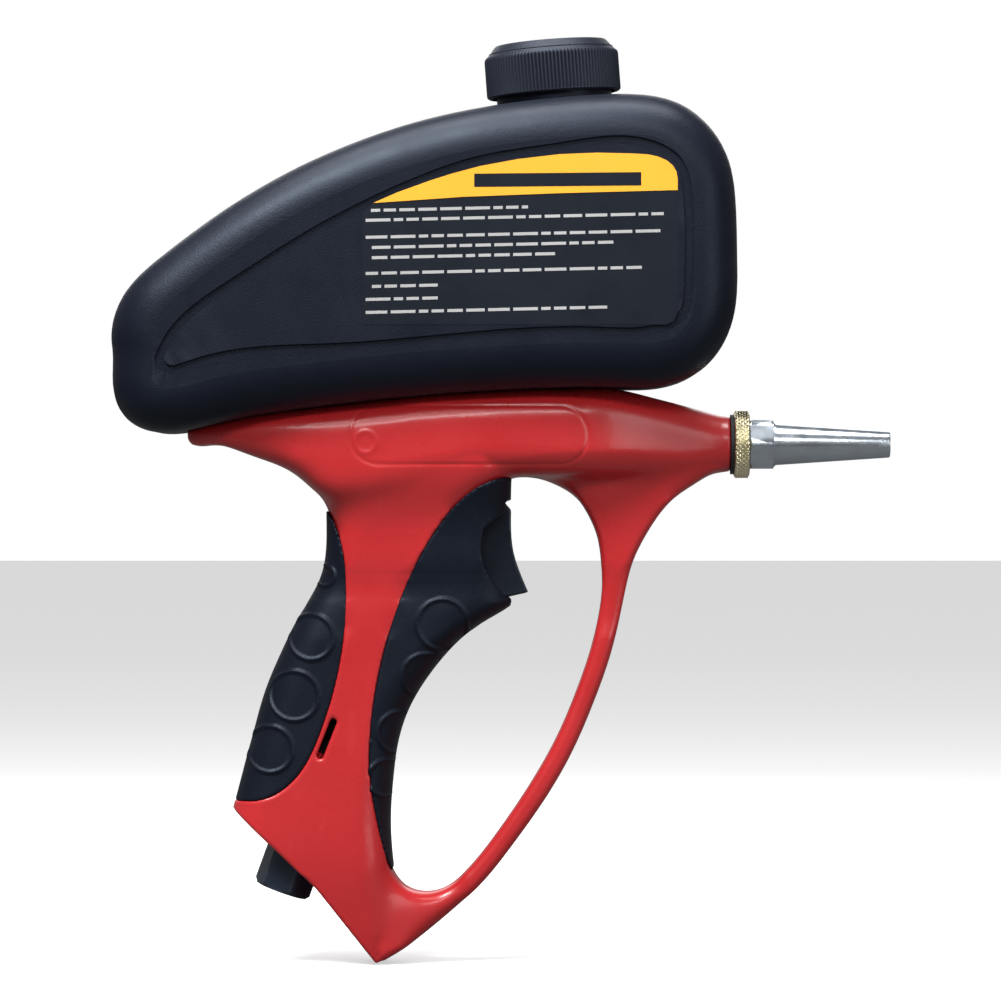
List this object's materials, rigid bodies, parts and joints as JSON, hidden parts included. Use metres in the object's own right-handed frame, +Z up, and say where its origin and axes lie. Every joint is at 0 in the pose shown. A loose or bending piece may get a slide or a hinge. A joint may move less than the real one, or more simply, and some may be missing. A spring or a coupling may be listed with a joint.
{
  "type": "gravity-feed abrasive blasting gun",
  "caption": "Hand-held gravity-feed abrasive blasting gun with a screw-capped media hopper, pistol grip, trigger loop, air inlet and knurled nozzle ring.",
  "frame": {"origin": "centre of the air inlet's mouth, at the foot of the handle, on the plane where the two body halves meet", "axes": "+X is the way the nozzle points, +Z up with the nozzle level, +Y to the side that carries the screw heads; the handle and air inlet lean back by 20 degrees"},
  "size_m": [0.2554, 0.0766, 0.3045],
  "materials": {
    "red_plastic": "glossy moulded nylon",
    "hopper_plastic": "blow-moulded, satin with a fine grain",
    "cap_plastic": "satin, ribbed",
    "grip_rubber": "soft-touch rubber",
    "trigger_plastic": "moulded, slightly glossy",
    "label_film": "printed film",
    "seal_rubber": "nitrile",
    "liner_foam": "closed-cell disc",
    "steel": "turned, zinc plated",
    "spring_steel": "drawn wire",
    "brass": "turned",
    "zinc_casting": "die cast",
    "black_metal": "black oxide",
    "ceramic": "sintered, off-white",
    "tube_nylon": "extruded",
    "funnel_plastic": "moulded"
  },
  "bodies": {
    "gun": {"body_shell_right": "red_plastic", "body_shell_left": "red_plastic", "rear_grip": "grip_rubber", "front_grip": "grip_rubber", "hopper": "hopper_plastic", "label_right": "label_film", "label_left": "label_film", "hopper_seal": "seal_rubber", "media_funnel": "funnel_plastic", "mixing_chamber": "zinc_casting", "air_jet": "brass", "jet_o_ring": "seal_rubber", "valve_body": "zinc_casting", "valve_seat": "seal_rubber", "valve_plug": "brass", "handle_air_tube": "tube_nylon", "inlet_o_ring": "seal_rubber", "air_inlet_bushing": "black_metal", "nozzle_washer": "seal_rubber", "trigger_pin": "steel", "body_screws": "steel"},
    "trigger": {"trigger": "trigger_plastic"},
    "stem": {"valve_stem": "steel", "valve_spring": "spring_steel"},
    "liner": {"cap_liner": "liner_foam"},
    "cap": {"hopper_cap": "cap_plastic"},
    "insert": {"ceramic_nozzle": "ceramic"},
    "nozzle": {"nozzle": "steel"},
    "lock_ring": {"lock_ring": "brass"}
  },
  "joints": [
    {"name": "trigger_pull", "type": "hinge", "parent": "gun", "child": "trigger", "pos_m": [0.068, 0, 0.1305], "axis": [0, 1, 0], "range_deg": [0, 12]},
    {"name": "stem_push", "type": "slide", "parent": "gun", "child": "stem", "axis": [-1, 0, 0], "range_m": [0, 0.004], "stiffness_N_per_m": 800, "springref_m": -0.006},
    {"name": "cap_rise", "type": "slide", "parent": "gun", "child": "liner", "axis": [-0.075, 0, 0.9972], "range_m": [0, 0.015]},
    {"name": "cap_turn", "type": "hinge", "parent": "liner", "child": "cap", "pos_m": [0.0902, 0, 0.2629], "axis": [-0.075, 0, 0.9972], "range_deg": [0, 900.1]},
    {"name": "nozzle_out", "type": "slide", "parent": "gun", "child": "insert", "axis": [1, 0, 0], "range_m": [0, 0.012]},
    {"name": "nozzle_turn", "type": "hinge", "parent": "insert", "child": "nozzle", "pos_m": [0.155, 0, 0.1475], "axis": [1, 0, 0], "range_deg": [0, 2880.1]},
    {"name": "lock_ring_turn", "type": "hinge", "parent": "gun", "child": "lock_ring", "pos_m": [0.152, 0, 0.1475], "axis": [1, 0, 0], "range_deg": [0, 24]}
  ],
  "couplings": [
    {"joint": "trigger_pull", "follows": "stem_push", "rad_per_m": 52.35},
    {"joint": "cap_turn", "follows": "cap_rise", "rad_per_m": 1047.2},
    {"joint": "nozzle_turn", "follows": "nozzle_out", "rad_per_m": 4188.8}
  ]
}
